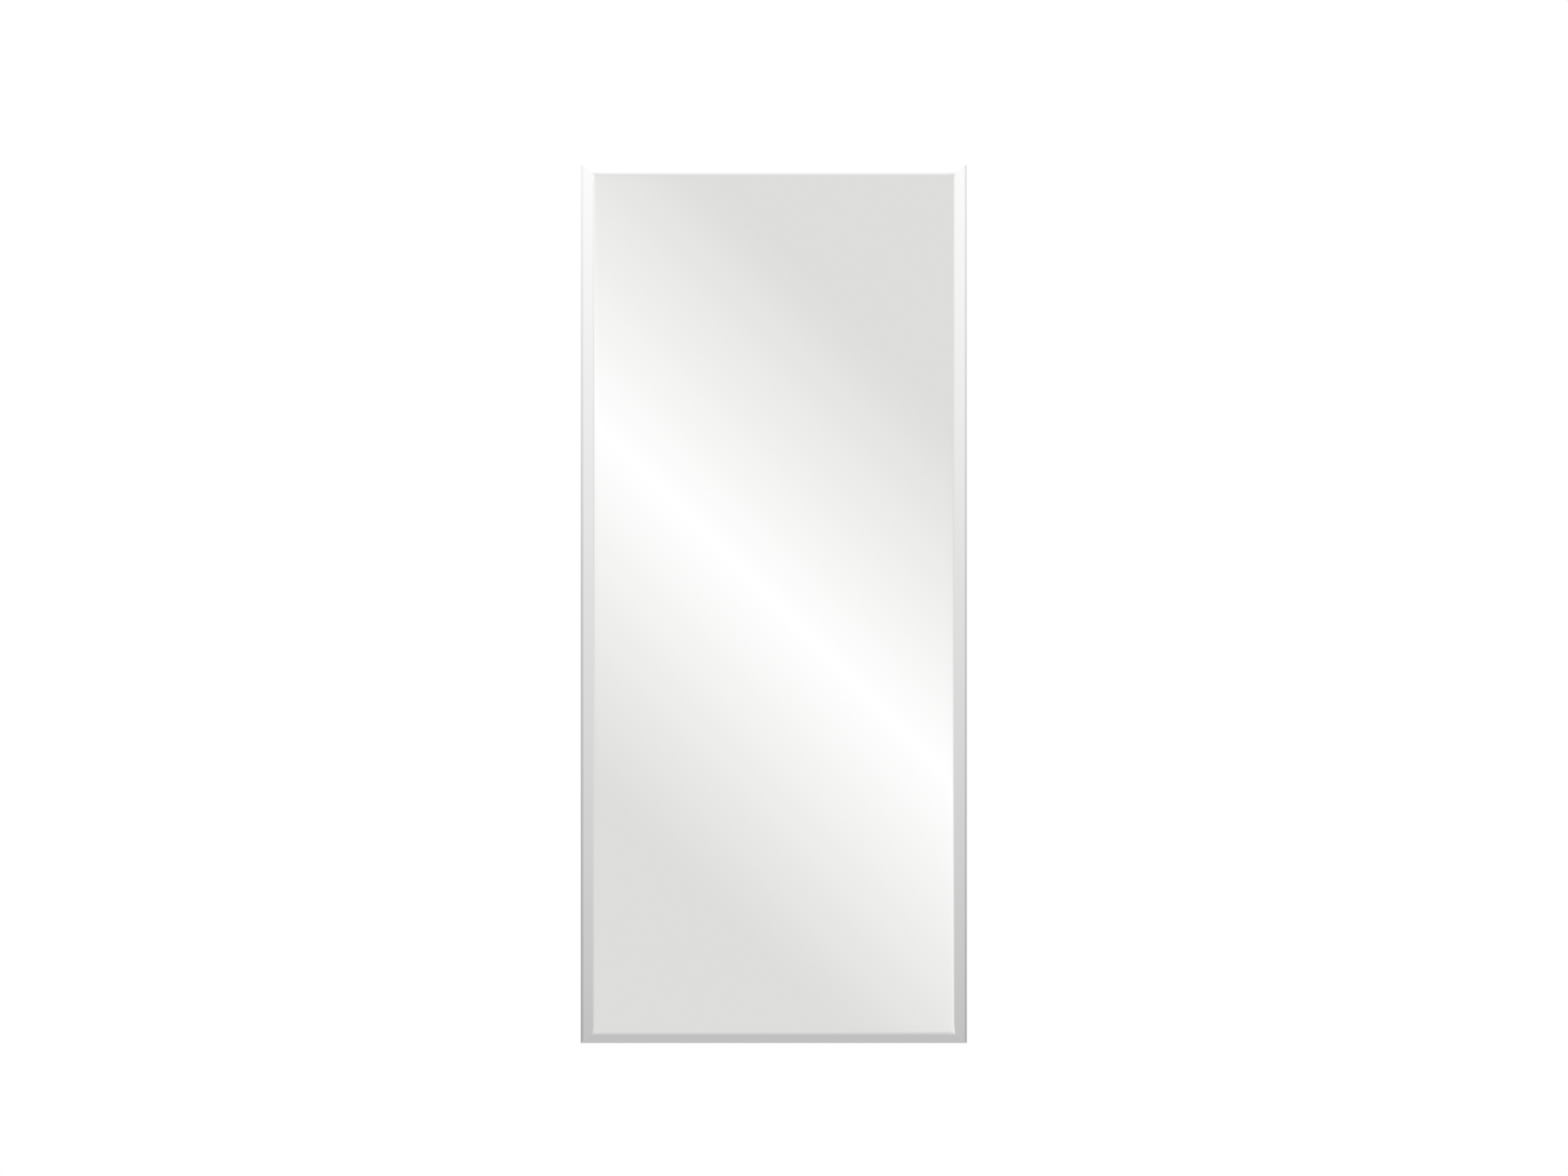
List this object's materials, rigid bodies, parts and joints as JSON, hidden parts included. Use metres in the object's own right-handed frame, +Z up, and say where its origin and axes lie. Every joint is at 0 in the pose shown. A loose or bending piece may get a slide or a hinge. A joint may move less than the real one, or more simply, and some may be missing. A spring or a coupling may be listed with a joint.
{
  "type": "bathroom mirror",
  "caption": "Tall frameless rectangular wall mirror with a bevelled edge, hung by concealed keyhole plates on eccentric levelling rollers, with rubber lower spacers.",
  "frame": {"origin": "on the face of the wall, behind the centre of the glass", "axes": "+Z up along the mirror's long side, +X to the right as seen from the room, +Y into the wall; the mirror faces -Y"},
  "size_m": [0.4, 0.058, 0.91],
  "materials": {
    "float_glass": "polished",
    "silvering": "polished",
    "backing_paint": "satin",
    "safety_film": "satin",
    "edge_sealant": "satin",
    "zinc_plated_sheet": "satin",
    "mounting_tape": "matte",
    "turned_steel": "satin",
    "screw_steel": "gloss",
    "nylon": "satin",
    "buffer_rubber": "matte"
  },
  "bodies": {
    "wall_fixings": {"wall_screw_left": "screw_steel", "wall_screw_right": "screw_steel", "wall_plug_left": "nylon", "wall_plug_right": "nylon"},
    "mirror_panel": {"mirror_glass": "float_glass", "silver_coating": "silvering", "back_paint": "backing_paint", "safety_film": "safety_film", "edge_seal": "edge_sealant", "hanging_plate_left": "zinc_plated_sheet", "plate_tape_left_outer": "mounting_tape", "plate_tape_left_inner": "mounting_tape", "lower_spacer_left": "buffer_rubber", "spacer_pad_left": "mounting_tape", "hanging_plate_right": "zinc_plated_sheet", "plate_tape_right_outer": "mounting_tape", "plate_tape_right_inner": "mounting_tape", "lower_spacer_right": "buffer_rubber", "spacer_pad_right": "mounting_tape"},
    "left_roller": {"levelling_roller_left": "turned_steel"},
    "right_roller": {"levelling_roller_right": "turned_steel"}
  },
  "joints": [
    {"name": "mirror_lift", "type": "slide", "parent": "wall_fixings", "child": "mirror_panel", "axis": [0, 0, 1], "range_m": [0, 0.014]},
    {"name": "left_roller_turn", "type": "hinge", "parent": "wall_fixings", "child": "left_roller", "pos_m": [-0.11, 0, 0.305], "axis": [0, -1, 0], "continuous": true},
    {"name": "right_roller_turn", "type": "hinge", "parent": "wall_fixings", "child": "right_roller", "pos_m": [0.11, 0, 0.305], "axis": [0, -1, 0], "continuous": true}
  ]
}
